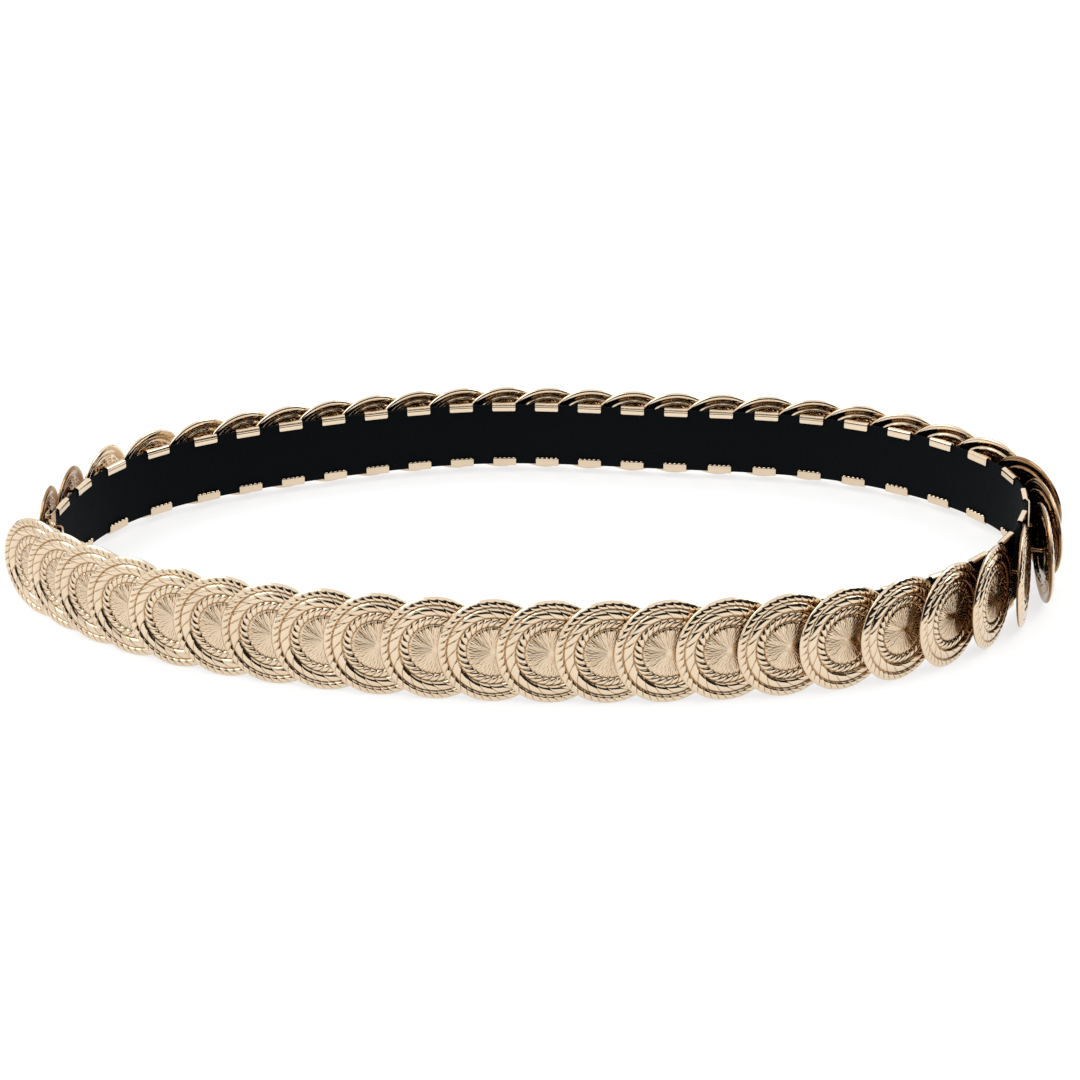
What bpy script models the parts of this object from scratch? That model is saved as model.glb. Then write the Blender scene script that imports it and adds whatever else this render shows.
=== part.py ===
"""Coin belt: stamped coins clipped like fish scales round a woven elastic band, hooked at the left.

The belt stands on the coins' lower rims. +X runs along its front from left to right, +Y from front
to back and +Z up. Sizes are in millimetres and become metres when a mesh is made.
"""
import math

import bmesh
import bpy
import numpy as np
from mathutils import Matrix, Vector

MM = 0.001

# Coins
COIN_COUNT = 47
COIN_RADIUS = 17.5
COIN_SIDES = 18
COIN_PROFILE = (  # radius from the coin's centre, height above the plane of its back rim
    (COIN_RADIUS, 0.72),   # front edge of the rim
    (16.1, 1.10),          # crest of the roped rim
    (14.7, 0.75),          # groove inside it
    (12.4, 1.05),          # crest of the second border
    (8.75, 0.70),          # foot of the borders, where the sunburst starts
)
COIN_DOME = 1.05           # height of the sunburst's middle
COIN_HOLLOW_RADIUS = 14.0  # flat floor of the hollow in the back
COIN_HOLLOW = 0.45
COIN_STAND_OFF = 3.57      # from the elastic's centre line to the middle of the coin's back
COIN_BEND_STAND_OFF = 65.0 # more of it where the belt bends, times the bend in radians per mm

# Elastic
ELASTIC_WIDTH = 26.0
ELASTIC_THICKNESS = 1.1
ELASTIC_BOTTOM = 5.2
ELASTIC_TOP = ELASTIC_BOTTOM + ELASTIC_WIDTH
ELASTIC_STEPS_PER_PITCH = 4

# Clips, folded round the elastic behind each coin
CLIP_WIDTH = 10.0
CLIP_SHEET = 0.5
CLIP_GAP = 0.40            # between the clip's sheet and the elastic's faces
CLIP_EDGE_GAP = 0.3        # between its folds and the elastic's edges
CLIP_TOP_TAB = 2.8         # height of the tab turned down inside at the top
CLIP_BOTTOM_TAB = 3.6      # height of the tab turned up inside at the bottom
BRIDGE_TOP = (-3.5, 4.5)   # stretch along the belt where the top fold reaches out to the coin
BRIDGE_BOTTOM = (-1.5, 4.5)
CLIP_FACE = ELASTIC_THICKNESS / 2 + CLIP_GAP + CLIP_SHEET   # outer face of the clip
COIN_CLEARANCE = 0.34      # between a coin's tucked edge and the next coin's clip

# Centre line of the elastic from above: from under the first coin, along the front to the right,
# round the right end, back along the rear and round the left end to the closure
PLAN_POINTS = (  # x, y
    (-151.0, -16.0),
    (-123.0, -41.0),
    (-43.0, -75.0),
    (36.0, -84.5),
    (96.5, -81.5),
    (167.5, -52.5),
    (195.5, 14.0),
    (142.0, 67.0),
    (75.0, 80.0),
    (7.0, 86.5),
    (-60.0, 72.5),
    (-132.5, 28.0),
    (-146.0, -23.5),
)
PLAN_STEP = 0.25
FIRST_COIN_AT = 12.0       # along the centre line, from its start
SPACING = (                # from this coin on, the distance to the next one
    (1, 15.20),
    (4, 17.05),
    (9, 18.15),
    (14, 18.80),
    (25, 17.40),
    (32, 16.75),
    (43, 19.55),
    (46, 17.00),
)
START_TAIL = 5.5           # elastic before the first coin's middle
END_TAIL = 11.1            # elastic after the last coin's middle
LEAN = 0.09                # the belt leans in towards its top: mm outward for each mm below LEAN_HEIGHT
LEAN_HEIGHT = 18.2         # the centre line is at this height

# Closure: a bent hook on the first coin's end, a crimped loop on the last coin's end
CRIMP_LENGTH = 4.2
CRIMP_HEIGHT = 26.6
CRIMP_SHEET = 0.8
CRIMP_GAP = 0.48
LOOP_REACH = 5.8           # from the crimp's end wall to the far side of the loop's bar
LOOP_TURN = math.radians(42.0)   # the loop leans into the belt, towards the hook
LOOP_BAR = 1.8
LOOP_HEIGHT = 25.0
HOOK_SHEET = 1.0
HOOK_PATH = (  # x, y, height of the sheet
    (-137.70, -26.60, 15.0),   # foot, along the elastic's inner face
    (-142.30, -22.00, 15.0),
    (-144.05, -20.30, 16.0),   # neck, out to the loop
    (-144.20, -18.60, 18.0),
    (-143.00, -17.00, 19.0),   # through the loop
    (-140.90, -16.70, 20.0),
    (-139.40, -18.10, 20.0),   # tongue, back down inside
    (-138.70, -20.60, 18.0),
    (-138.00, -23.30, 12.0),
)

COLOURS = {  # base colour, metallic, roughness
    "gold": ((0.83, 0.66, 0.46), 1.0, 0.18),
    "elastic": ((0.012, 0.012, 0.014), 0.0, 0.85),
}


def clear_scene():
    """Remove whatever the file opened with"""
    for item in list(bpy.data.objects):
        bpy.data.objects.remove(item, do_unlink=True)


def make_material(name):
    """A Principled material from the table of colours"""
    colour, metallic, roughness = COLOURS[name]
    material = bpy.data.materials.new(name)
    material.use_nodes = True
    shader = material.node_tree.nodes["Principled BSDF"]
    shader.inputs["Base Color"].default_value = (*colour, 1.0)
    shader.inputs["Metallic"].default_value = metallic
    shader.inputs["Roughness"].default_value = roughness
    return material


def natural_cubic(knots, values):
    """Second derivatives of the natural cubic through the values at the knots"""
    count = len(knots)
    gap = np.diff(knots)
    matrix = np.eye(count)
    right = np.zeros(values.shape)
    for i in range(1, count - 1):
        matrix[i, i - 1:i + 2] = (gap[i - 1], 2 * (gap[i - 1] + gap[i]), gap[i])
        right[i] = 6 * ((values[i + 1] - values[i]) / gap[i] - (values[i] - values[i - 1]) / gap[i - 1])
    return np.linalg.solve(matrix, right)


class CentreLine:
    """The elastic's centre line in plan, read by its length from the start"""

    def __init__(self, points):
        points = np.array(points)
        knots = np.concatenate([[0.0], np.cumsum(np.hypot(*np.diff(points, axis=0).T))])
        bend = natural_cubic(knots, points)
        rows = []
        for i in range(len(knots) - 1):
            gap = knots[i + 1] - knots[i]
            steps = int(math.ceil(gap / PLAN_STEP))
            for t in np.arange(steps) / steps:
                a, b = 1 - t, t
                curved = ((a ** 3 - a) * bend[i] + (b ** 3 - b) * bend[i + 1]) * gap ** 2 / 6
                rows.append(a * points[i] + b * points[i + 1] + curved)
        rows.append(points[-1])
        self.rows = np.array(rows)
        self.length_at = np.concatenate([[0.0], np.cumsum(np.hypot(*np.diff(self.rows, axis=0).T))])

    def point(self, along):
        """Plan point at this length"""
        return Vector((np.interp(along, self.length_at, self.rows[:, 0]),
                       np.interp(along, self.length_at, self.rows[:, 1]), 0.0))

    def tangent(self, along, reach=3.0):
        """Direction of travel at this length, over a short stretch either side"""
        return (self.point(along + reach) - self.point(along - reach)).normalized()

    def turn(self, along, pitch):
        """Angle that the line turns to the left over one pitch about this length"""
        before = self.tangent(along - pitch / 2)
        after = self.tangent(along + pitch / 2)
        return math.asin(max(-1.0, min(1.0, before.x * after.y - before.y * after.x)))


def coin_stations():
    """Length along the centre line of each coin's middle, and the pitch at each coin"""
    stations, pitches = [FIRST_COIN_AT], []
    for index in range(1, COIN_COUNT + 1):
        pitch = [row[1] for row in SPACING if row[0] <= index][-1]
        pitches.append(pitch)
        stations.append(stations[-1] + pitch)
    return stations[:COIN_COUNT], pitches


def band_frame(line, along):
    """Matrix whose X runs along the belt, Y points out of the loop and Z is up"""
    tangent = line.tangent(along)
    outward = Vector((tangent.y, -tangent.x, 0.0))
    frame = Matrix.Identity(4)
    for row in range(3):
        frame[row][0] = tangent[row]
        frame[row][1] = outward[row]
    frame.translation = line.point(along)
    return frame


def leaning(frame):
    """The band's frame sheared so that whatever is upright in it leans in at the top"""
    shear = Matrix.Identity(4)
    shear[1][2] = -LEAN
    shear[1][3] = LEAN * LEAN_HEIGHT
    return frame @ shear


def add_object(name, mesh, material):
    """Link a mesh, scaled from millimetres to metres, as a named object"""
    mesh.transform(Matrix.Scale(MM, 4))
    mesh.materials.append(material)
    item = bpy.data.objects.new(name, mesh)
    bpy.context.collection.objects.link(item)
    return item


def mesh_from(bm, name):
    """Finish a bmesh with its faces pointing out"""
    bmesh.ops.recalc_face_normals(bm, faces=bm.faces)
    mesh = bpy.data.meshes.new(name)
    bm.to_mesh(mesh)
    bm.free()
    return mesh


def add_prism(bm, outline, low, high, to_point):
    """Closed prism from an outline; to_point(u, v, t) places a corner, t from low to high"""
    ends = []
    for t in (low, high):
        ends.append([bm.verts.new(to_point(u, v, t)) for u, v in outline])
    count = len(outline)
    for i in range(count):
        j = (i + 1) % count
        bm.faces.new((ends[0][i], ends[0][j], ends[1][j], ends[1][i]))
    bm.faces.new(list(reversed(ends[0])))
    bm.faces.new(ends[1])


def add_box(bm, low, high, frame):
    """Box between two corners of a local frame"""
    outline = ((low[1], low[2]), (high[1], low[2]), (high[1], high[2]), (low[1], high[2]))
    add_prism(bm, outline, low[0], high[0], lambda u, v, t: frame @ Vector((t, u, v)))


def union(target, others):
    """Join other objects into the target and remove them"""
    for other in others:
        modifier = target.modifiers.new("union", "BOOLEAN")
        modifier.operation = "UNION"
        modifier.object = other
    bpy.context.view_layer.update()
    evaluated = target.evaluated_get(bpy.context.evaluated_depsgraph_get())
    mesh = bpy.data.meshes.new_from_object(evaluated)
    target.modifiers.clear()
    old = target.data
    target.data = mesh
    bpy.data.meshes.remove(old)
    for other in others:
        bpy.data.objects.remove(other, do_unlink=True)


def coin_pose(line, along, pitch):
    """Matrix, tilt and stand-off of a coin: X to its tucked edge, Y out of its face

    The origin is on its back. The tucked edge lies just clear of the next coin's clip, which
    settles the tilt.
    """
    here = band_frame(line, along)
    stand_off = COIN_STAND_OFF + COIN_BEND_STAND_OFF * max(0.0, line.turn(along, pitch)) / pitch
    to_next = band_frame(line, along + pitch).inverted() @ here
    reach = COIN_RADIUS / math.cos(math.pi / COIN_SIDES)
    clear = CLIP_FACE + COIN_CLEARANCE

    def gap(tilt):
        gaps = []
        for step in range(11):
            out = reach * (1 - 0.04 * step)
            back = to_next @ Vector((out * math.cos(tilt), stand_off - out * math.sin(tilt), 0.0))
            if back.x > -CLIP_WIDTH / 2:
                gaps.append(back.y - clear)
        return min(gaps)

    low, high = 0.0, math.radians(40.0)
    for _ in range(40):
        middle = (low + high) / 2
        low, high = (middle, high) if gap(middle) > 0 else (low, middle)
    lift = Matrix.Translation((0.0, stand_off, COIN_RADIUS))
    return leaning(here) @ lift @ Matrix.Rotation(-low, 4, "Z"), low, stand_off


def coin_mesh(pose):
    """Hollow stamped coin, a turned profile with a flat side at the bottom"""
    bm = bmesh.new()
    corner = math.cos(math.pi / COIN_SIDES)
    half = math.pi / COIN_SIDES

    def ring(radius, height):
        verts = []
        for i in range(COIN_SIDES):
            angle = -math.pi / 2 + half + 2 * half * i
            local = Vector((radius / corner * math.cos(angle), height, radius / corner * math.sin(angle)))
            verts.append(bm.verts.new(pose @ local))
        return verts

    rings = [ring(COIN_HOLLOW_RADIUS, COIN_HOLLOW), ring(COIN_RADIUS, 0.0)]
    rings += [ring(radius, height) for radius, height in COIN_PROFILE]
    for inner, outer in zip(rings, rings[1:]):
        for i in range(COIN_SIDES):
            j = (i + 1) % COIN_SIDES
            bm.faces.new((inner[i], inner[j], outer[j], outer[i]))
    for rim, height in ((rings[0], COIN_HOLLOW), (rings[-1], COIN_DOME)):
        centre = bm.verts.new(pose @ Vector((0.0, height, 0.0)))
        for i in range(COIN_SIDES):
            bm.faces.new((rim[i], rim[(i + 1) % COIN_SIDES], centre))
    return mesh_from(bm, "coin")


def clip_mesh(frame, bend):
    """Sheet folded round the elastic, with a short tab inside at the top and a taller one below"""
    outer = CLIP_FACE
    face = outer - CLIP_SHEET
    inner = -face - CLIP_WIDTH ** 2 / 8 * bend
    back = inner - CLIP_SHEET
    low, high = ELASTIC_BOTTOM - CLIP_EDGE_GAP, ELASTIC_TOP + CLIP_EDGE_GAP
    low_out, high_out = low - CLIP_SHEET, high + CLIP_SHEET
    outline = (
        (outer, low_out), (outer, high_out), (back, high_out), (back, high_out - CLIP_TOP_TAB),
        (inner, high_out - CLIP_TOP_TAB), (inner, high), (face, high), (face, low),
        (inner, low), (inner, low_out + CLIP_BOTTOM_TAB), (back, low_out + CLIP_BOTTOM_TAB),
        (back, low_out),
    )
    bm = bmesh.new()
    add_prism(bm, outline, -CLIP_WIDTH / 2, CLIP_WIDTH / 2,
              lambda u, v, t: frame @ Vector((t, u, v)))
    return mesh_from(bm, "clip")


def bridge_mesh(frame, stretch, low, tilt, stand_off):
    """Bar from a clip's fold out into the sheet of its tilted coin"""
    root = CLIP_FACE - CLIP_SHEET / 2
    bite = (COIN_HOLLOW + COIN_PROFILE[-1][1]) / 2

    def place(u, v, t):
        outward = root if u == 0 else stand_off + bite / math.cos(tilt) - t * math.tan(tilt)
        return frame @ Vector((t, outward, v))

    bm = bmesh.new()
    outline = ((0, low), (1, low), (1, low + CLIP_SHEET), (0, low + CLIP_SHEET))
    add_prism(bm, outline, stretch[0], stretch[1], place)
    return mesh_from(bm, "bridge")


def build_coin(line, index, along, pitch, gold):
    """One coin with its clip, as a single body"""
    pose, tilt, stand_off = coin_pose(line, along, pitch)
    bend = max(0.0, line.turn(along, pitch)) / pitch
    frame = leaning(band_frame(line, along))
    coin = add_object("coin_%02d" % index, coin_mesh(pose), gold)
    top = ELASTIC_TOP + CLIP_EDGE_GAP
    bottom = ELASTIC_BOTTOM - CLIP_EDGE_GAP - CLIP_SHEET
    pieces = [
        add_object("clip", clip_mesh(frame, bend), gold),
        add_object("bridge", bridge_mesh(frame, BRIDGE_TOP, top, tilt, stand_off), gold),
        add_object("bridge", bridge_mesh(frame, BRIDGE_BOTTOM, bottom, tilt, stand_off), gold),
    ]
    union(coin, pieces)
    return coin


def build_elastic(line, start, end, steps, material):
    """The woven band: a flat strip on edge along the centre line, open at the closure"""
    half = ELASTIC_THICKNESS / 2
    bm = bmesh.new()
    rings = []
    for i in range(steps + 1):
        frame = leaning(band_frame(line, start + (end - start) * i / steps))
        section = ((-half, ELASTIC_BOTTOM), (half, ELASTIC_BOTTOM), (half, ELASTIC_TOP), (-half, ELASTIC_TOP))
        rings.append([bm.verts.new(frame @ Vector((0.0, y, z))) for y, z in section])
    for near, far in zip(rings, rings[1:]):
        for i in range(4):
            j = (i + 1) % 4
            bm.faces.new((near[i], near[j], far[j], far[i]))
    bm.faces.new(rings[0])
    bm.faces.new(rings[-1])
    return add_object("elastic", mesh_from(bm, "elastic"), material)


def build_loop(line, end, material):
    """Crimp folded over the elastic's last end, with a loop for the hook"""
    frame = leaning(band_frame(line, end))
    middle = (ELASTIC_BOTTOM + ELASTIC_TOP) / 2
    inner = ELASTIC_THICKNESS / 2 + CRIMP_GAP
    outer = inner + CRIMP_SHEET
    outline = (
        (-CRIMP_LENGTH, -outer), (CRIMP_GAP + CRIMP_SHEET, -outer), (CRIMP_GAP + CRIMP_SHEET, outer),
        (-CRIMP_LENGTH, outer), (-CRIMP_LENGTH, inner), (CRIMP_GAP, inner),
        (CRIMP_GAP, -inner), (-CRIMP_LENGTH, -inner),
    )
    bm = bmesh.new()
    add_prism(bm, outline, middle - CRIMP_HEIGHT / 2, middle + CRIMP_HEIGHT / 2,
              lambda u, v, t: frame @ Vector((u, v, t)))
    crimp = add_object("loop_end", mesh_from(bm, "loop_end"), material)
    wall = Matrix.Translation((CRIMP_GAP + CRIMP_SHEET / 2, 0.0, 0.0))
    turned = frame @ wall @ Matrix.Rotation(-LOOP_TURN, 4, "Z")
    far = CRIMP_SHEET / 2 + LOOP_REACH
    half = LOOP_BAR / 2
    top = LOOP_HEIGHT / 2
    boxes = (
        ((0.0, -half, middle - top), (far, half, middle - top + LOOP_BAR)),
        ((0.0, -half, middle + top - LOOP_BAR), (far, half, middle + top)),
        ((far - LOOP_BAR, -half, middle - top), (far, half, middle + top)),
    )
    pieces = []
    for low, high in boxes:
        bm = bmesh.new()
        add_box(bm, low, high, turned)
        pieces.append(add_object("loop", mesh_from(bm, "loop"), material))
    union(crimp, pieces)
    return crimp


def build_hook(line, start, end, material):
    """Hook of flat sheet: its foot lies on the elastic, its tongue passes the loop and comes back

    Its foot leans with the elastic's start, the rest of it with the loop on the elastic's end.
    """
    leans = [band_frame(line, along).col[1].to_3d() * LEAN for along in (start, end)]
    points = [Vector((x, y, 0.0)) for x, y, height in HOOK_PATH]
    middle = (ELASTIC_BOTTOM + ELASTIC_TOP) / 2
    bm = bmesh.new()
    rings = []
    for i, point in enumerate(points):
        first = (point - points[i - 1]).normalized() if i else None
        second = (points[i + 1] - point).normalized() if i < len(points) - 1 else first
        along = ((first or second) + second).normalized()
        side = Vector((-along.y, along.x, 0.0)) * HOOK_SHEET / 2 / along.dot(second)
        lean = leans[0].lerp(leans[1], min(1.0, max(0.0, (i - 1) / 2)))
        rise = (Vector((0.0, 0.0, 1.0)) - lean) * HOOK_PATH[i][2] / 2
        centre = point + Vector((0.0, 0.0, middle))
        corners = (centre + side - rise, centre + side + rise, centre - side + rise, centre - side - rise)
        rings.append([bm.verts.new(corner) for corner in corners])
    for near, far in zip(rings, rings[1:]):
        for i in range(4):
            j = (i + 1) % 4
            bm.faces.new((near[i], near[j], far[j], far[i]))
    bm.faces.new(rings[0])
    bm.faces.new(rings[-1])
    return add_object("hook", mesh_from(bm, "hook"), material)


def centre_belt():
    """Move every mesh so that the middle of the belt's box stands over the origin"""
    corners = np.array([vertex.co for item in bpy.data.objects for vertex in item.data.vertices])
    middle = (corners.min(axis=0) + corners.max(axis=0)) / 2
    shift = Matrix.Translation((-middle[0], -middle[1], -corners[:, 2].min()))
    for item in bpy.data.objects:
        item.data.transform(shift)
    bpy.context.view_layer.update()


def build():
    """Make every piece of the belt"""
    clear_scene()
    gold = make_material("gold")
    black = make_material("elastic")
    line = CentreLine(PLAN_POINTS)
    stations, pitches = coin_stations()
    start = FIRST_COIN_AT - START_TAIL
    end = stations[-1] + END_TAIL
    build_elastic(line, start, end, COIN_COUNT * ELASTIC_STEPS_PER_PITCH, black)
    for index, (along, pitch) in enumerate(zip(stations, pitches), start=1):
        build_coin(line, index, along, pitch, gold)
    build_loop(line, end, gold)
    build_hook(line, start, end, gold)
    centre_belt()


build()
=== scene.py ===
"""Looks of the coin belt: stamped coins, their clips, the woven elastic and the closure.

Sizes are in millimetres and become metres when a mesh is made. A coin and its clip are modelled in a
local frame whose X runs along the belt towards the coin's tucked edge, Y into the loop and Z up.
"""
import math
from collections import namedtuple

import bmesh
import bpy
import numpy as np
from mathutils import Matrix, Vector


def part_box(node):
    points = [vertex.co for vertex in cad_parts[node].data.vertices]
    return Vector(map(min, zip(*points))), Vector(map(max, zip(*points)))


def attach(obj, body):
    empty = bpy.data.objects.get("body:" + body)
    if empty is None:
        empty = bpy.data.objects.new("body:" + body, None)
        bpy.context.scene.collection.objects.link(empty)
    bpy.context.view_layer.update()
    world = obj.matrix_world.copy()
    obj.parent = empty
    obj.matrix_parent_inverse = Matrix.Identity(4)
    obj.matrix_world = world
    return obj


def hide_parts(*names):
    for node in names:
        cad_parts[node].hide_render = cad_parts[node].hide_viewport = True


MM = 0.001
BLACK = (0.0, 0.0, 0.0)
WHITE = (1.0, 1.0, 1.0)

# Belt, as in the solids
COIN_COUNT = 47
COIN_RADIUS = 17.5
COIN_SIDES = 18            # the solids' coins are polygons
COIN_CORNER = COIN_RADIUS / math.cos(math.pi / COIN_SIDES)
COIN_STAND_OFF = 3.57
COIN_BEND_STAND_OFF = 65.0   # more of it for each radian per mm of the belt's bend
COIN_CLEARANCE = 0.34
COIN_PROBES = 11           # places along a coin's tucked half that stay clear of the next clip
COIN_PROBE_STEP = 0.04
TILT_LIMIT = math.radians(40.0)
TILT_HALVINGS = 40
ELASTIC_WIDTH = 26.0
ELASTIC_THICKNESS = 1.1
ELASTIC_BOTTOM = 5.2
ELASTIC_TOP = ELASTIC_BOTTOM + ELASTIC_WIDTH
ELASTIC_MIDDLE = (ELASTIC_BOTTOM + ELASTIC_TOP) / 2
CLIP_WIDTH = 10.0
CLIP_SHEET = 0.5
CLIP_GAP = 0.40
CLIP_EDGE_GAP = 0.3
CLIP_FACE = ELASTIC_THICKNESS / 2 + CLIP_GAP + CLIP_SHEET
PLAN_POINTS = (            # x, y
    (-151.0, -16.0),
    (-123.0, -41.0),
    (-43.0, -75.0),
    (36.0, -84.5),
    (96.5, -81.5),
    (167.5, -52.5),
    (195.5, 14.0),
    (142.0, 67.0),
    (75.0, 80.0),
    (7.0, 86.5),
    (-60.0, 72.5),
    (-132.5, 28.0),
    (-146.0, -23.5),
)
PLAN_STEP = 0.25
FIRST_COIN_AT = 12.0
SPACING = (                # from this coin on, the distance to the next one
    (1, 15.20),
    (4, 17.05),
    (9, 18.15),
    (14, 18.80),
    (25, 17.40),
    (32, 16.75),
    (43, 19.55),
    (46, 17.00),
)
START_TAIL = 5.5
END_TAIL = 11.1
LEAN = 0.09                # the belt leans in towards its top: mm outward for each mm below LEAN_HEIGHT
LEAN_HEIGHT = 18.2

# How far the elastic and its clips sit below their place in the solids, by length along the belt
BAND_DROP = (
    (0.0, 0.8),
    (30.0, 1.3),
    (130.0, 1.5),
    (185.0, 2.6),
    (240.0, 2.6),
    (300.0, 1.6),
    (900.0, 1.6),
)

# Coins that stand a little differently on their clips: more turn about the upright, more stand-off
COIN_SET = {
    20: (math.radians(1.0), 0.3),
    21: (math.radians(4.0), 1.1),
    22: (math.radians(6.0), 1.8),
    47: (math.radians(1.5), 0.3),
}

# Coin face. Its columns of points follow the strands of the roped rings, so each groove is crisp.
COIN_EDGE_HEIGHT = 0.84
FRONT_BULGE = 1.0          # the face is raised this far, with most of the slope close to the rim
BACK_BULGE = 0.0           # the coins of the back row lie closer on each other
LAST_FRONT_COIN = 27
DISH_POWER = 7
COLUMNS = 280              # a whole number of columns for each strand and each ray

# Roped rings. The lean is how many strands each strand moves on from the ring's outer edge to its inner
# one. The cut is the depth of the grooves as a share of the crest's height above its foot. A low pillow
# makes the strands square.
Ring = namedtuple("Ring", "outer inner strands lean rows outer_foot crest inner_foot cut pillow")
RINGS = (
    Ring(17.36, 14.75, 40, -0.95, 6, 0.90, 1.36, 0.34, 0.34, 0.50),
    Ring(14.75, 11.35, 20, -0.95, 7, 0.34, 1.36, 0.32, 0.22, 0.36),
    Ring(11.35, 8.45, 28, 0.90, 5, 0.32, 1.12, 0.32, 0.56, 0.60),
)
FOOT_SHADE = 0.6         # painted shade in the channels between the rings
STRAND_SHADE = 0.75      # and between their strands
SMOOTH_RIM = 0.10          # share of the outer ring that no strand cuts
SMOOTH_RIM_FADE = 0.25     # and share over which its grooves reach their full depth

# Sunburst: a low dome cut by rays. It is worn deep in one sector, where the rays are wide and broken.
DISC_RADIUS = 8.45
DISC_RIM_HEIGHT = 0.80
DISC_DOME_HEIGHT = 0.94
DISC_ROWS = (8.20, 7.20, 6.00, 4.60, 3.10, 1.50)
RAY_COLUMNS = 4
RAY_SHAPE = (1.0, 0.25, 0.0, 0.25)        # depth of a ray's columns
RAY_DEEP_SHAPE = (1.0, 0.55, 0.0, 0.55)   # and where the die is worn deep
RAY_SCATTER = (12.9898, 43758.5453)       # gives each ray a fixed number between 0 and 1
# painted shade in the rays' cuts
RAY_SHADE = 0.6
RAY_SWAY = 0.40            # how far the rays wander, as a share of a ray
RAY_SWAY_TURNS = (2.4, 2.1)   # how fast that changes from ray to ray, and from row to row
RAY_CUT = 0.150            # depth of a plain ray
RAY_LEAST = 0.4            # share of it that every ray has
RAY_DEEP_CUT = 0.520       # more of it where the die is worn deep
RAY_DEEP_AT = math.radians(124.0)
RAY_DEEP_SPREAD = math.radians(30.0)
RAY_DEEP_FROM = 0.45       # rays with a number above this are worn deep, the others have a part of it
RAY_DEEP_PART = 0.25
RAY_BREAK_LEVEL = 0.2      # a wave breaks a deep ray: its level, its height, its turn along and between rays
RAY_BREAK_HEIGHT = 1.6
RAY_BREAK_ALONG = 13.0
RAY_BREAK_BETWEEN = 6.3

# Hollow back of a coin
SHADED_BACK_COINS = (20, 21, 22, 23, 24, 46, 47)   # their hollow backs take painted shade and look darker than the others'
# how much painted shade those backs take
BACK_SHADE = 0.85
BACK_COLUMNS = 70
BACK_STRANDS = 20
BACK_TWIST = 1.6           # turn of the reversed rope's lumps for each mm towards the rim
BACK_PROFILE = (           # radius, height in front of the plane of the back rim, lumps of the reversed rope
    (17.46, 0.66, 0.0),
    (17.32, 0.32, 0.0),
    (17.00, 0.10, 0.0),
    (16.50, 0.00, 0.0),
    (15.90, 0.02, 0.0),
    (15.40, 0.12, 0.0),
    (14.95, 0.27, 0.0),
    (14.20, 0.72, 0.0),
    (13.85, 0.66, 0.02),
    (13.60, 0.40, 0.06),
    (13.20, 0.12, 0.12),
    (12.80, 0.16, 0.12),
    (12.45, 0.60, 0.10),
    (11.85, 0.08, 0.12),
    (11.50, 0.14, 0.12),
    (11.15, 0.56, 0.10),
    (10.50, 0.06, 0.10),
    (9.40, 0.46, 0.06),
    (8.40, 0.24, 0.0),
    (5.00, 0.60, 0.0),
    (2.00, 0.76, 0.0),
)

# Clip, folded round the elastic's edges
CLIP_FIT = 0.14            # the clip seen here hugs the elastic more closely than the solid does
CLIP_SEEN_WIDTH = 8.9
CLIP_TOP_TAB = 3.1
CLIP_BOTTOM_TAB = 4.0
CLIP_CORNER = 0.35         # how much narrower the top tab's end is, on each side
CLIP_WAIST = 5.0           # width of the clip's outer leg behind the coin
CLIP_SHOULDER = (5.0, 9.0)   # its narrowing starts and ends this far from the folds
FOLD_RADIUS = 0.85
FOLD_STEPS = 5
FOLD_OPENING = 10          # degrees by which the top fold stops short
TAB_END = ((-0.05, 0.0), (0.06, 0.3))        # inward, up from the top tab's end
TAB_NECK = ((0.02, 0.55), (-0.12, 0.30))     # inward, down from its fold
BEADS = 5
BEAD_HEIGHT = 1.9
BEAD_LAP = 0.65            # the strip ends this far below the top of the beads
BEAD_ROWS = (              # down from the top of a bead, share of its full width
    (1.20, 0.85),
    (0.80, 1.0),
    (0.45, 0.95),
    (0.18, 0.75),
    (0.0, 0.40),
)
BEAD_FOOT = 0.30           # share of its full width at its foot
BEAD_STEPS = 8
BEAD_BASE = 0.30           # thickness at a bead's edge and what its middle adds, as shares of the sheet
BEAD_SWELL = 0.85

# Studs that join a clip to its coin
POST_WIDTH = 0.9
POST_HEIGHT = 1.2
POST_X = 1.5               # from the clip's middle, away from the tucked edge of the coin before
POST_SIDES = 16
POST_ROWS = ((0.0, 1.15), (0.15, 1.0), (0.85, 1.0), (1.0, 1.2))   # share of the way, share of the width
STUDS = (                  # height above the coin's middle, depth into the coin
    (-12.9, 0.60),
    (9.9, 0.50),
)
BEND_COINS = range(19, 25)
BEND_STUDS = ((0.0, 1.05),)   # at the bend the coins lie further apart

# Elastic
ELASTIC_STEPS = 320
ELASTIC_RIBS = 17
ELASTIC_RIB_DEPTH = 0.05
ELASTIC_EDGE = 0.35        # the ribs end this far from the edges
ELASTIC_ROUND = ((0.72, 0.10), (0.3, 0.0))   # rounded edge: share of the half thickness, mm inside the edge

# Closure
HOOK_SHEET = 0.9
HOOK_STEPS = 6
HOOK_TAPER = (0.82, 0.09)  # share of the height at the strip's ends, and more of it for each step inwards
HOOK_LEAN_FROM = 1         # up to this point of its path the hook leans as the elastic's start does,
HOOK_LEAN_TO = 3           # and from this one on as its end does
HOOK_PATH = (              # x, y, height of the sheet
    (-137.70, -26.60, 15.0),
    (-142.30, -22.00, 15.0),
    (-144.05, -20.30, 16.0),
    (-144.20, -18.60, 18.0),
    (-143.00, -17.00, 19.0),
    (-140.90, -16.70, 20.0),
    (-139.40, -18.10, 20.0),
    (-138.70, -20.60, 18.0),
    (-138.00, -23.30, 12.0),
)
PLATE_SIDES = 16
CRIMP_LENGTH = 4.2
CRIMP_HEIGHT = 26.6
CRIMP_SHEET = 0.8
CRIMP_GAP = 0.48
CRIMP_STEPS = 10
LOOP_REACH = 5.8
LOOP_TURN = math.radians(42.0)
LOOP_BAR = 1.8
LOOP_HEIGHT = 25.0
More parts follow.
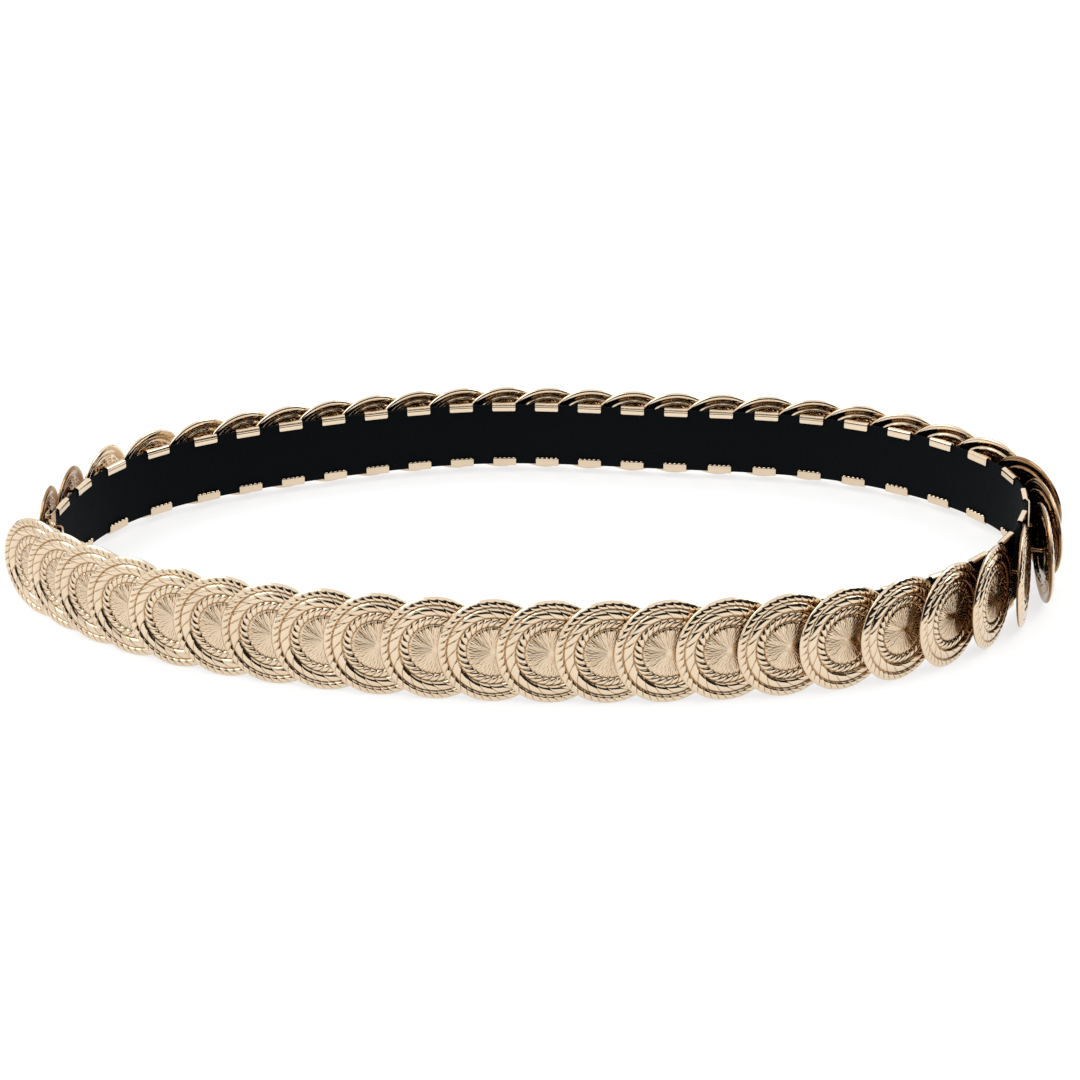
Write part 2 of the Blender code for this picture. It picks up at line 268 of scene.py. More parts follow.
LOOP_CORNER = 2.2
LOOP_CORNER_STEPS = 6
LOOP_SIDES = 12

# Gold and elastic
GOLD_TONES = ((0.745, 0.598, 0.435), (0.800, 0.654, 0.486))   # darker and lighter patches
CLOSURE_TONES = ((0.42, 0.29, 0.18), (0.56, 0.41, 0.27))
CREVICE_SHADE = (0.62, 0.53, 0.42)                                  # painted shade in sharp inward corners
SHADE_TINTS = ((0.62, 0.50, 0.37), (0.30, 0.20, 0.12))            # tints of light and deep painted shade
GOLD_ROUGHNESS = (0.07, 0.15)                                 # polished and rubbed
ELASTIC_TONES = ((0.0016, 0.0025, 0.0034), (0.0036, 0.0054, 0.0070))   # between and on the threads
ELASTIC_ROUGHNESS = (0.72, 0.92)

# Stage. Its lengths are in metres.
FLOOR_SIZE = 6.0
FLOOR_GREY = 0.32
FLOOR_ROUGHNESS = 0.9
FLOOR_GLOW = 0.72
SKY_DARK = 0.015
SKY_STRENGTH = 1.1
SOFTBOX_SIZE = 1.8
SOFTBOX_POWER = 28.0
SOFTBOXES = (
    ("left_softbox", (-1.9, -0.5, 2.6)),
    ("right_softbox", (2.3, 0.6, 2.6)),
)

# Camera, in millimetres before the belt's shift
CAMERA_AT = (25.03, -638.80, 327.56)
CAMERA_PITCH = 0.45768
CAMERA_ROLL = -0.00732
CAMERA_FOCAL_PIXELS = 2012.17
PHOTO_PIXELS = 1080
SENSOR_WIDTH = 36.0


def natural_cubic(knots, values):
    """Second derivatives of the natural cubic through the values at the knots"""
    count = len(knots)
    gap = np.diff(knots)
    matrix = np.eye(count)
    right = np.zeros(values.shape)
    for i in range(1, count - 1):
        matrix[i, i - 1:i + 2] = (gap[i - 1], 2 * (gap[i - 1] + gap[i]), gap[i])
        right[i] = 6 * ((values[i + 1] - values[i]) / gap[i] - (values[i] - values[i - 1]) / gap[i - 1])
    return np.linalg.solve(matrix, right)


class CentreLine:
    """The elastic's centre line in plan, read by its length from the start"""

    def __init__(self, points):
        points = np.array(points)
        knots = np.concatenate([[0.0], np.cumsum(np.hypot(*np.diff(points, axis=0).T))])
        bend = natural_cubic(knots, points)
        rows = []
        for i in range(len(knots) - 1):
            gap = knots[i + 1] - knots[i]
            steps = int(math.ceil(gap / PLAN_STEP))
            for t in np.arange(steps) / steps:
                a, b = 1 - t, t
                curved = ((a ** 3 - a) * bend[i] + (b ** 3 - b) * bend[i + 1]) * gap ** 2 / 6
                rows.append(a * points[i] + b * points[i + 1] + curved)
        rows.append(points[-1])
        self.rows = np.array(rows)
        self.length_at = np.concatenate([[0.0], np.cumsum(np.hypot(*np.diff(self.rows, axis=0).T))])

    def point(self, along):
        """Plan point at this length"""
        x = np.interp(along, self.length_at, self.rows[:, 0])
        y = np.interp(along, self.length_at, self.rows[:, 1])
        return Vector((x, y, 0.0))

    def tangent(self, along, reach=3.0):
        """Direction of travel at this length, over a short stretch either side"""
        return (self.point(along + reach) - self.point(along - reach)).normalized()

    def left_turn(self, along, pitch):
        """Angle that the line turns to the left over one pitch about this length, or 0"""
        before = self.tangent(along - pitch / 2)
        after = self.tangent(along + pitch / 2)
        return math.asin(max(0.0, min(1.0, before.x * after.y - before.y * after.x)))


def coin_stations():
    """Length along the centre line of each coin's middle, and the pitch at each coin"""
    stations, pitches = [FIRST_COIN_AT], []
    for index in range(1, COIN_COUNT + 1):
        pitch = [row[1] for row in SPACING if row[0] <= index][-1]
        pitches.append(pitch)
        stations.append(stations[-1] + pitch)
    return stations[:COIN_COUNT], pitches


def elastic_ends():
    """Lengths along the centre line at which the elastic starts and ends"""
    return FIRST_COIN_AT - START_TAIL, coin_stations()[0][-1] + END_TAIL


def band_frame(line, along):
    """Matrix whose X runs along the belt, Y points into the loop and Z is up"""
    tangent = line.tangent(along)
    inward = Vector((-tangent.y, tangent.x, 0.0))
    matrix = Matrix.Identity(4)
    for row in range(3):
        matrix[row][0] = tangent[row]
        matrix[row][1] = inward[row]
    matrix.translation = line.point(along)
    return matrix


def band_drop(along):
    """How far below its place in the solids the elastic sits at this length"""
    lengths, drops = zip(*BAND_DROP)
    return float(np.interp(along, lengths, drops))


def leaning(matrix):
    """The band's frame sheared so that whatever is upright in it leans in at the top"""
    shear = Matrix.Identity(4)
    shear[1][2] = LEAN
    shear[1][3] = -LEAN * LEAN_HEIGHT
    return matrix @ shear


def coin_pose(line, along, pitch):
    """Tilt and stand-off of a coin whose tucked edge lies just clear of the next coin's clip"""
    here = band_frame(line, along)
    stand_off = COIN_STAND_OFF + COIN_BEND_STAND_OFF * line.left_turn(along, pitch) / pitch
    to_next = band_frame(line, along + pitch).inverted() @ here
    clear = CLIP_FACE + COIN_CLEARANCE

    def gap(tilt):
        gaps = []
        for step in range(COIN_PROBES):
            out = COIN_CORNER * (1 - COIN_PROBE_STEP * step)
            back = to_next @ Vector((out * math.cos(tilt), out * math.sin(tilt) - stand_off, 0.0))
            if back.x > -CLIP_WIDTH / 2:
                gaps.append(-back.y - clear)
        return min(gaps)

    low, high = 0.0, TILT_LIMIT
    for _ in range(TILT_HALVINGS):
        middle = (low + high) / 2
        low, high = (middle, high) if gap(middle) > 0 else (low, middle)
    return low, stand_off


def skin(bm, rings):
    """Faces between each closed ring of vertices and the next"""
    for near, far in zip(rings, rings[1:]):
        for i in range(len(near)):
            j = (i + 1) % len(near)
            bm.faces.new((near[i], near[j], far[j], far[i]))


def skin_closed(bm, rings):
    """The same, with a face across both ends"""
    skin(bm, rings)
    bm.faces.new(rings[0])
    bm.faces.new(rings[-1])


def fan(bm, ring, middle):
    """Triangles from a closed ring of vertices to the one in its middle"""
    for i in range(len(ring)):
        bm.faces.new((ring[i], ring[(i + 1) % len(ring)], middle))


def finish_mesh(bm, name, smooth=True):
    """Turn a bmesh in millimetres into a mesh in metres with its faces pointing out"""
    bmesh.ops.recalc_face_normals(bm, faces=bm.faces)
    bmesh.ops.scale(bm, vec=(MM, MM, MM), verts=bm.verts)
    mesh = bpy.data.meshes.new(name)
    bm.to_mesh(mesh)
    bm.free()
    if smooth:
        mesh.shade_smooth()
    else:
        mesh.shade_flat()
    return mesh


def add_piece(name, mesh, material):
    """Link a piece that has this mesh, which takes its finish from this material"""
    mesh.materials.clear()
    mesh.materials.append(material)
    piece = bpy.data.objects.new(name, mesh)
    bpy.context.scene.collection.objects.link(piece)
    return piece


def dish(radius, bulge):
    """How far the coin's face is raised at this radius"""
    return bulge * (1 - (radius / COIN_RADIUS) ** DISH_POWER)


def column_angle(column, shift):
    """Angle of a column of points, counted anticlockwise as the face is seen"""
    return 2 * math.pi * (column + shift) / COLUMNS


def ring_rows(ring, shift, bulge):
    """Rows of (radius, angle, height, painted shade) across a roped ring, and the column shift at its inner
    edge
    """
    per_strand = COLUMNS // ring.strands
    is_outer = ring is RINGS[0]
    rows = []
    for step in range(ring.rows):
        across = (1 - math.cos(math.pi * step / ring.rows)) / 2
        radius = ring.outer + (ring.inner - ring.outer) * across
        foot = ring.outer_foot + (ring.inner_foot - ring.outer_foot) * across
        envelope = (ring.crest - foot) * math.sqrt(1 - (2 * across - 1) ** 2)
        row_shift = shift + ring.lean * per_strand * across
        share = 1.0
        if is_outer:
            share = min(1.0, max(0.0, (across - SMOOTH_RIM) / SMOOTH_RIM_FADE))
        row = []
        for column in range(COLUMNS):
            place = (column % per_strand) / per_strand
            ridge = math.sin(math.pi * place) ** ring.pillow
            height = dish(radius, bulge) + foot + envelope * (1 - ring.cut * share * (1 - ridge))
            # painted shade between the strands, and in the channel at the foot of each inner ring
            painted_shade = STRAND_SHADE * share * (1 - ridge) ** 2
            if step == 0 and not is_outer:
                painted_shade = FOOT_SHADE
            row.append((radius, column_angle(column, row_shift), height, painted_shade))
        rows.append(row)
    return rows, shift + ring.lean * per_strand


def ray_number(ray):
    """Fixed number between 0 and 1 that makes this ray differ from its neighbours"""
    number = math.sin(ray * RAY_SCATTER[0]) * RAY_SCATTER[1]
    return number - math.floor(number)


def ray_depth(ray, column, angle, share):
    """Depth at one column of a ray of the sunburst: deep and broken in one sector, fine elsewhere"""
    odd = ray_number(ray)
    away = abs((angle - RAY_DEEP_AT + math.pi) % (2 * math.pi) - math.pi)
    deep = max(0.0, 1 - away / RAY_DEEP_SPREAD) ** 0.5
    wave = RAY_BREAK_LEVEL + RAY_BREAK_HEIGHT * math.sin(RAY_BREAK_ALONG * share + RAY_BREAK_BETWEEN * odd)
    part = 1.0 if odd > RAY_DEEP_FROM else RAY_DEEP_PART
    fine = RAY_CUT * (RAY_LEAST + odd) * RAY_SHAPE[column]
    worn = RAY_DEEP_CUT * deep * part * min(1.0, max(0.0, wave)) * RAY_DEEP_SHAPE[column]
    return (fine + worn) * share


def disc_rows(shift, bulge):
    """Rows of the sunburst, as in ring_rows"""
    ray_angle = 2 * math.pi * RAY_COLUMNS / COLUMNS
    rows = []
    for step, radius in enumerate((DISC_RADIUS,) + DISC_ROWS):
        share = radius / DISC_RADIUS
        dome = DISC_DOME_HEIGHT + (DISC_RIM_HEIGHT - DISC_DOME_HEIGHT) * share ** 2
        row = []
        for column in range(COLUMNS):
            ray = column // RAY_COLUMNS
            angle = column_angle(column, shift)
            # the outermost row lies in the channel round the disc and takes its painted shade, the others
            # take painted shade in the rays' cuts
            if step == 0:
                height, painted_shade = RINGS[-1].inner_foot, FOOT_SHADE
            else:
                depth = ray_depth(ray, column % RAY_COLUMNS, angle, share)
                height = dome - depth
                painted_shade = RAY_SHADE * min(1.0, depth / RAY_CUT)
                angle += RAY_SWAY * ray_angle * math.sin(RAY_SWAY_TURNS[0] * ray + RAY_SWAY_TURNS[1] * step)
            row.append((radius, angle, dish(radius, bulge) + height, painted_shade))
        rows.append(row)
    return rows


def join_rim(bm, edge, back):
    """Faces between the face's edge and the back's outermost ring, which has fewer vertices"""
    share = len(edge) // len(back)
    half = share // 2
    for i in range(len(back)):
        j = (i + 1) % len(back)
        stretch = [edge[(i * share + k) % len(edge)] for k in range(share + 1)]
        for k in range(half):
            bm.faces.new((stretch[k], stretch[k + 1], back[i]))
        bm.faces.new((stretch[half], back[j], back[i]))
        for k in range(half, share):
            bm.faces.new((stretch[k], stretch[k + 1], back[j]))


def build_coin_mesh(back_shade, bulge):
    """Stamped coin, relief in front and hollow behind, shared by the coins with this much painted shade on
    the back and this bulge
    """
    bm = bmesh.new()
    # amount of painted shade at each vertex, read by the gold material
    painted_shade_layer = bm.verts.layers.float.new("painted_shade")

    def point(radius, angle, height, painted_shade):
        vertex = bm.verts.new((radius * math.cos(angle), -height, radius * math.sin(angle)))
        vertex[painted_shade_layer] = painted_shade
        return vertex

    rows = [[(COIN_RADIUS, column_angle(column, 0.0), COIN_EDGE_HEIGHT, 0.0) for column in range(COLUMNS)]]
    shift = 0.0
    for ring in RINGS:
        more_rows, shift = ring_rows(ring, shift, bulge)
        rows += more_rows
    rows += disc_rows(shift, bulge)
    face = [[point(*spot) for spot in row] for row in rows]
    skin(bm, face)
    fan(bm, face[-1], point(0.0, 0.0, bulge + DISC_DOME_HEIGHT, 0.0))

    back = []
    for radius, height, lump in BACK_PROFILE:
        row = []
        for i in range(BACK_COLUMNS):
            turn = 2 * math.pi * i / BACK_COLUMNS
            raised = height + lump * math.cos(BACK_STRANDS * turn + radius * BACK_TWIST)
            # the whole hollow back takes this coin's painted shade
            row.append(point(radius, turn, raised, back_shade))
        back.append(row)
    join_rim(bm, face[0], back[0])
    skin(bm, back)
    fan(bm, back[-1], point(0.0, 0.0, BACK_PROFILE[-1][1], back_shade))
    return finish_mesh(bm, "coin")


def coin_matrix(place, tilt, stand_off):
    """Place in metres of a coin that follows the sheared frame without being sheared itself"""
    sheared = leaning(place)
    face = Matrix.Translation((0.0, -stand_off, COIN_RADIUS)) @ Matrix.Rotation(tilt, 4, "Z")
    up = (sheared @ Vector((0.0, 0.0, 1.0)) - sheared @ Vector((0.0, 0.0, 0.0))).normalized()
    along = (place.to_3x3() @ face.to_3x3()).col[0]
    along = (along - up * along.dot(up)).normalized()
    inward = up.cross(along)
    matrix = Matrix((along, inward, up)).transposed().to_4x4()
    matrix.translation = (sheared @ face.translation) * MM
    return matrix


def sweep_strip(bm, path, half_widths, thickness):
    """Closed strip of sheet that follows a path (y, z) with a half width at each of its points"""
    last = len(path) - 1
    rings = []
    for i, (y, z) in enumerate(path):
        along = (Vector(path[min(i + 1, last)]) - Vector(path[max(i - 1, 0)])).normalized()
        side = Vector((-along.y, along.x)) * thickness / 2
        half = half_widths[i]
        ring = []
        for x, sign in ((-half, 1), (half, 1), (half, -1), (-half, -1)):
            ring.append(bm.verts.new((x, y + side.x * sign, z + side.y * sign)))
        rings.append(ring)
    skin_closed(bm, rings)


def arc(centre, radius, start, end, steps):
    """Points of an arc round a centre in a plane, angles in degrees"""
    points = []
    for i in range(steps + 1):
        angle = math.radians(start + (end - start) * i / steps)
        points.append((centre[0] + radius * math.cos(angle), centre[1] + radius * math.sin(angle)))
    return points


def add_beads(bm, y, top, thickness):
    """Beaded end of the lower tab: short rounded beads side by side"""
    width = CLIP_SEEN_WIDTH / BEADS
    half = width / 2
    back = y - thickness / 2
    for k in range(BEADS):
        middle = -CLIP_SEEN_WIDTH / 2 + width * (k + 0.5)
        rows = []
        for down, share in ((BEAD_HEIGHT, BEAD_FOOT),) + BEAD_ROWS:
            row = []
            for step in range(BEAD_STEPS + 1):
                angle = math.pi * step / BEAD_STEPS
                front = y + thickness * (BEAD_BASE + BEAD_SWELL * math.sin(angle) * share)
                row.append(bm.verts.new((middle - half * share * math.cos(angle), front, top - down)))
            row.append(bm.verts.new((middle + half * share, back, top - down)))
            row.append(bm.verts.new((middle - half * share, back, top - down)))
            rows.append(row)
        skin_closed(bm, rows)


def add_post(bm, painted_shade_layer, to_clip, level, depth, drop, root):
    """Oval stud from the clip's outer leg into the back of its coin, darkened all over with painted shade"""
    shear = leaning(Matrix.Identity(4))
    rows = []
    for share, grow in POST_ROWS:
        row = []
        for step in range(POST_SIDES):
            angle = 2 * math.pi * step / POST_SIDES
            x = POST_X + POST_WIDTH / 2 * grow * math.cos(angle)
            z = level + POST_HEIGHT / 2 * grow * math.sin(angle)
            near = shear @ Vector((x, root, COIN_RADIUS + drop + z))
            vertex = bm.verts.new(near.lerp(to_clip @ Vector((x, -depth, z)), share))
            # the whole stud takes the deepest painted shade
            vertex[painted_shade_layer] = 1.0
            row.append(vertex)
        rows.append(row)
    skin_closed(bm, rows)


def build_clip_mesh(to_clip, drop, bend, studs):
    """Clip behind one coin: folded round the elastic's edges, joined to the coin by studs"""
    bm = bmesh.new()
    outer = ELASTIC_THICKNESS / 2 + CLIP_FIT + CLIP_SHEET / 2
    inner = outer + CLIP_WIDTH ** 2 / 8 * bend
    low = ELASTIC_BOTTOM - CLIP_EDGE_GAP - CLIP_SHEET / 2
    high = ELASTIC_TOP + CLIP_EDGE_GAP + CLIP_SHEET / 2
    top_end = high + CLIP_SHEET / 2 - CLIP_TOP_TAB
    bottom_end = low - CLIP_SHEET / 2 + CLIP_BOTTOM_TAB
    radius = FOLD_RADIUS
    path = [(inner + inward, top_end + up) for inward, up in TAB_END]
    path += [(inner + inward, high - radius - down) for inward, down in TAB_NECK]
    path += arc((inner - radius, high - radius), radius, FOLD_OPENING, 90, FOLD_STEPS)
    path += arc((-outer + radius, high - radius), radius, 90, 180, FOLD_STEPS)
    leg = len(path)
    path += [(-outer, high - down) for down in CLIP_SHOULDER]
    path += [(-outer, low + up) for up in reversed(CLIP_SHOULDER)]
    path += arc((-outer + radius, low + radius), radius, 180, 270, FOLD_STEPS)
    path += arc((inner - radius, low + radius), radius, 270, 360, FOLD_STEPS)
    path += [(inner, bottom_end - BEAD_LAP)]
    halves = [CLIP_SEEN_WIDTH / 2] * len(path)
    halves[0] -= CLIP_CORNER
    halves[leg + 1] = halves[leg + 2] = CLIP_WAIST / 2
    sweep_strip(bm, path, halves, CLIP_SHEET)
    add_beads(bm, inner, bottom_end, CLIP_SHEET)
    bmesh.ops.transform(bm, matrix=leaning(Matrix.Identity(4)), verts=bm.verts)
    painted_shade_layer = bm.verts.layers.float.new("painted_shade")
    for level, depth in studs:
        add_post(bm, painted_shade_layer, to_clip, level, depth, drop, -outer)
    return finish_mesh(bm, "clip", smooth=False)


def elastic_section():
    """Closed outline (y, z, thread coordinate) of the band: fine ribs on both faces, rounded edges"""
    half = ELASTIC_THICKNESS / 2
    outline = []
    for face in (-1, 1):
        for k in range(ELASTIC_RIBS * 2 + 1):
            share = k / (ELASTIC_RIBS * 2)
            up = share if face < 0 else 1 - share
            z = ELASTIC_BOTTOM + ELASTIC_EDGE + (ELASTIC_WIDTH - 2 * ELASTIC_EDGE) * up
            raised = half if k % 2 else half - ELASTIC_RIB_DEPTH
            outline.append((face * raised, z, z))
        edge = ELASTIC_TOP if face < 0 else ELASTIC_BOTTOM
        for share, inside in ELASTIC_ROUND:
            outline.append((face * half * share, edge + face * inside, edge))
        for share, inside in reversed(ELASTIC_ROUND):
            outline.append((-face * half * share, edge + face * inside, edge))
    return outline


def build_elastic_mesh(line):
    """The woven band along the whole centre line, and its length"""
    start, end = elastic_ends()
    section = elastic_section()
    bm = bmesh.new()
    threads = bm.loops.layers.uv.new("threads")
    rings = []
    for i in range(ELASTIC_STEPS + 1):
        at = start + (end - start) * i / ELASTIC_STEPS
        place = leaning(band_frame(line, at) @ Matrix.Translation((0.0, 0.0, -band_drop(at))))
        rings.append([bm.verts.new(place @ Vector((0.0, y, z))) for y, z, _ in section])
    for i, (near, far) in enumerate(zip(rings, rings[1:])):
        along = ((end - start) * i / ELASTIC_STEPS, (end - start) * (i + 1) / ELASTIC_STEPS)
        for k in range(len(section)):
            j = (k + 1) % len(section)
            face = bm.faces.new((near[k], near[j], far[j], far[k]))
            for loop, u, v in zip(face.loops, (0, 0, 1, 1), (k, j, j, k)):
                loop[threads].uv = (along[u], section[v][2])
    bm.faces.new(rings[0])
    bm.faces.new(rings[-1])
    return finish_mesh(bm, "elastic"), end - start


def smooth_path(points, steps):
    """Points of a soft curve through the given points, with this many steps between them"""
    curve = []
    last = len(points) - 1
    for i in range(last):
        p0, p1, p2, p3 = points[max(0, i - 1)], points[i], points[i + 1], points[min(last, i + 2)]
        for k in range(steps):
            t = k / steps
            square = (2 * p0 - 5 * p1 + 4 * p2 - p3) * t ** 2
            cube = (3 * p1 - p0 - 3 * p2 + p3) * t ** 3
            curve.append(0.5 * (2 * p1 + (p2 - p0) * t + square + cube))
    curve.append(points[last])
    return curve


def sweep_plate(bm, path, rises, halves, thickness):
    """Sheet with rounded edges swept along a path, upright along the rises, with these half heights"""
    last = len(path) - 1
    radius = thickness / 2
    rings = []
    for i, (spot, rise, half) in enumerate(zip(path, rises, halves)):
        along = (path[min(last, i + 1)] - path[max(0, i - 1)]).normalized()
        side = along.cross(rise).normalized()
        ring = []
        for step in range(PLATE_SIDES):
            angle = 2 * math.pi * (step + 0.5) / PLATE_SIDES
            up = math.copysign(half - radius, math.sin(angle)) + radius * math.sin(angle)
            ring.append(bm.verts.new(spot + side * (radius * math.cos(angle)) + rise * up))
        rings.append(ring)
    skin_closed(bm, rings)


def build_hook_mesh(line):
    """Fastened hook: a foot on the elastic's start and a tongue bent back round the loop's bar"""
    leans = [band_frame(line, along).col[1].to_3d() * LEAN for along in elastic_ends()]
    curve = smooth_path([Vector(spot) for spot in HOOK_PATH], HOOK_STEPS)
    path, rises, halves = [], [], []
    for i, spot in enumerate(curve):
        share = (i / HOOK_STEPS - HOOK_LEAN_FROM) / (HOOK_LEAN_TO - HOOK_LEAN_FROM)
        lean = leans[0].lerp(leans[1], min(1.0, max(0.0, share)))
        path.append(Vector((spot.x, spot.y, ELASTIC_MIDDLE)))
        rises.append(Vector((0.0, 0.0, 1.0)) + lean)
        from_end = min(i, len(curve) - 1 - i)
        halves.append(spot.z / 2 * min(1.0, HOOK_TAPER[0] + HOOK_TAPER[1] * from_end))
    bm = bmesh.new()
    sweep_plate(bm, path, rises, halves, HOOK_SHEET)
    return finish_mesh(bm, "hook")


def add_wire_loop(bm, turned, reach, half):
    """Round wire in the turned frame, out to its reach and back, with rounded corners"""
    corner = LOOP_CORNER
    wire = [(0.0, -half)]
    wire += arc((reach - corner, corner - half), corner, -90, 0, LOOP_CORNER_STEPS)
    wire += arc((reach - corner, half - corner), corner, 0, 90, LOOP_CORNER_STEPS)
    wire += [(0.0, half)]
    last = len(wire) - 1
    rings = []
    for i, (x, z) in enumerate(wire):
        along = (Vector(wire[min(last, i + 1)]) - Vector(wire[max(0, i - 1)])).normalized()
        ring = []
        for step in range(LOOP_SIDES):
            angle = 2 * math.pi * step / LOOP_SIDES
            out = LOOP_BAR / 2 * math.cos(angle)
            side = LOOP_BAR / 2 * math.sin(angle)
            spot = Vector((x + along.y * out, side, ELASTIC_MIDDLE + z - along.x * out))
            ring.append(bm.verts.new(turned @ spot))
        rings.append(ring)
    skin_closed(bm, rings)


def build_loop_mesh(line):
    """Sheet folded over the elastic's end, with a round-wire loop turned towards the hook"""
    place = leaning(band_frame(line, elastic_ends()[1]))
    face = ELASTIC_THICKNESS / 2 + CLIP_FIT + CRIMP_SHEET / 2
    wall = CRIMP_GAP + CRIMP_SHEET / 2
    plan = [(-CRIMP_LENGTH, -face), (-CRIMP_LENGTH / 2, -face)]
    plan += [(x + wall - face, y) for x, y in arc((0.0, 0.0), face, -90, 90, CRIMP_STEPS)]
    plan += [(-CRIMP_LENGTH / 2, face), (-CRIMP_LENGTH, face)]
    path = [place @ Vector((x, y, ELASTIC_MIDDLE)) for x, y in plan]
    rise = place.col[2].to_3d()
    bm = bmesh.new()
    sweep_plate(bm, path, [rise] * len(path), [CRIMP_HEIGHT / 2] * len(path), CRIMP_SHEET)
    turned = place @ Matrix.Translation((wall, 0.0, 0.0)) @ Matrix.Rotation(LOOP_TURN, 4, "Z")
    add_wire_loop(bm, turned, CRIMP_SHEET / 2 + LOOP_REACH - LOOP_BAR / 2, LOOP_HEIGHT / 2 - LOOP_BAR / 2)
    return finish_mesh(bm, "loop")


def grey(value):
    """Colour of one grey value"""
    return (value, value, value)


def add_noise(tree, coordinates, scale, detail):
    """Grey value of a noise texture over the given coordinates"""
    noise = tree.nodes.new("ShaderNodeTexNoise")
    noise.inputs["Scale"].default_value = scale
    noise.inputs["Detail"].default_value = detail
    tree.links.new(coordinates, noise.inputs["Vector"])
    return noise.outputs["Fac"]


def add_wave(tree, coordinates, direction, scale, distortion):
    """Grey value of straight bands over the given coordinates"""
    wave = tree.nodes.new("ShaderNodeTexWave")
    wave.bands_direction = direction
    wave.inputs["Scale"].default_value = scale
    wave.inputs["Distortion"].default_value = distortion
    tree.links.new(coordinates, wave.inputs["Vector"])
    return wave.outputs["Fac"]


def add_ramp(tree, source, stops):
    """Colour that follows a grey value, stops of (place, colour)"""
    ramp = tree.nodes.new("ShaderNodeValToRGB")
    elements = ramp.color_ramp.elements
    elements[0].position, elements[0].color = stops[0][0], (*stops[0][1], 1.0)
    elements[1].position, elements[1].color = stops[-1][0], (*stops[-1][1], 1.0)
    for place, colour in stops[1:-1]:
        element = elements.new(place)
        element.color = (*colour, 1.0)
    tree.links.new(source, ramp.inputs["Fac"])
    return ramp.outputs["Color"]


def add_math(tree, operation, first, second):
    """Result of an operation on two grey values, the second of which can be a plain number"""
    node = tree.nodes.new("ShaderNodeMath")
    node.operation = operation
    tree.links.new(first, node.inputs[0])
    if isinstance(second, float):
        node.inputs[1].default_value = second
    else:
        tree.links.new(second, node.inputs[1])
    return node.outputs["Value"]


def add_tint(tree, colour, tint):
    """The colour darkened by a tint"""
    mix = tree.nodes.new("ShaderNodeMix")
    mix.data_type = "RGBA"
    mix.blend_type = "MULTIPLY"
    mix.inputs["Factor"].default_value = 1.0
    tree.links.new(colour, mix.inputs["A"])
    tree.links.new(tint, mix.inputs["B"])
    return mix.outputs["Result"]


def add_bump(tree, height, strength, distance):
    """Bump on the shader's surface from a grey value"""
    bump = tree.nodes.new("ShaderNodeBump")
    bump.inputs["Strength"].default_value = strength
    bump.inputs["Distance"].default_value = distance
    tree.links.new(height, bump.inputs["Height"])
    tree.links.new(bump.outputs["Normal"], tree.nodes["Principled BSDF"].inputs["Normal"])


def gold_material(name, tones):
    """Polished pale gold plate: slight tone changes, painted shade in inward corners, grooves, studs and
    some hollow backs, fine handling marks
    """
    material = bpy.data.materials.new(name)
    material.use_nodes = True
    tree = material.node_tree
    shader = tree.nodes["Principled BSDF"]
    shader.inputs["Metallic"].default_value = 1.0
    geometry = tree.nodes.new("ShaderNodeNewGeometry")
    position = geometry.outputs["Position"]
    low, high = tones
    patches = add_noise(tree, position, scale=55.0, detail=3.0)
    colour = add_ramp(tree, patches, ((0.32, low), (0.68, high)))
    # painted shade: sharp inward corners, found by their pointiness, are darkened
    crevice_shade = add_ramp(tree, geometry.outputs["Pointiness"], ((0.44, CREVICE_SHADE), (0.52, WHITE)))
    # painted shade from each vertex's amount: grooves, channels, ray cuts, studs and some hollow backs
    painted_shade = tree.nodes.new("ShaderNodeAttribute")
    painted_shade.attribute_name = "painted_shade"
    light, deep = SHADE_TINTS
    shade_tint = add_ramp(tree, painted_shade.outputs["Fac"], ((0.05, WHITE), (0.55, light), (1.0, deep)))
    colour = add_tint(tree, add_tint(tree, colour, crevice_shade), shade_tint)
    tree.links.new(colour, shader.inputs["Base Color"])
    polished, rubbed = GOLD_ROUGHNESS
    marks = add_noise(tree, position, scale=420.0, detail=4.0)
    rough = add_ramp(tree, marks, ((0.35, grey(polished)), (0.75, grey(rubbed))))
    tree.links.new(rough, shader.inputs["Roughness"])
    grain = add_noise(tree, position, scale=1500.0, detail=2.0)
    add_bump(tree, grain, strength=0.10, distance=0.00015)
    return material


def elastic_material():
    """Near-black woven elastic: fine warp ribs along it, covered rubber threads across, soft sheen"""
    material = bpy.data.materials.new("elastic")
    material.use_nodes = True
    tree = material.node_tree
    shader = tree.nodes["Principled BSDF"]
    shader.inputs["Sheen Weight"].default_value = 0.015
    shader.inputs["Sheen Roughness"].default_value = 0.6
    shader.inputs["Specular IOR Level"].default_value = 0.05
    threads = tree.nodes.new("ShaderNodeUVMap")
    threads.uv_map = "threads"
    place = threads.outputs["UV"]
    warp = add_wave(tree, place, "Y", scale=0.33, distortion=0.4)
    weft = add_wave(tree, place, "X", scale=0.5, distortion=0.6)
    weave = add_math(tree, "MULTIPLY", warp, weft)
    deep, raised = ELASTIC_TONES
    tree.links.new(add_ramp(tree, weave, ((0.05, deep), (0.8, raised))), shader.inputs["Base Color"])
    least, most = ELASTIC_ROUGHNESS
    fuzz = add_noise(tree, place, scale=2.5, detail=3.0)
    rough = add_ramp(tree, fuzz, ((0.3, grey(least)), (0.7, grey(most))))
    tree.links.new(rough, shader.inputs["Roughness"])
    add_bump(tree, weave, strength=0.35, distance=0.00012)
    return material


def add_elastic(line):
    """The elastic in its solid's place, and the shift from plan to belt, in millimetres"""
    mesh, elastic_length = build_elastic_mesh(line)
    cad_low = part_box("elastic")[0]
    low_x = min(vertex.co.x for vertex in mesh.vertices)
    low_y = min(vertex.co.y for vertex in mesh.vertices)
    shift = Vector((cad_low.x - low_x, cad_low.y - low_y, 0.0)) / MM
    mesh.transform(Matrix.Translation(shift * MM))
    elastic = add_piece("elastic_band", mesh, elastic_material())
    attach(elastic, "root")
    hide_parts("elastic")
    return shift


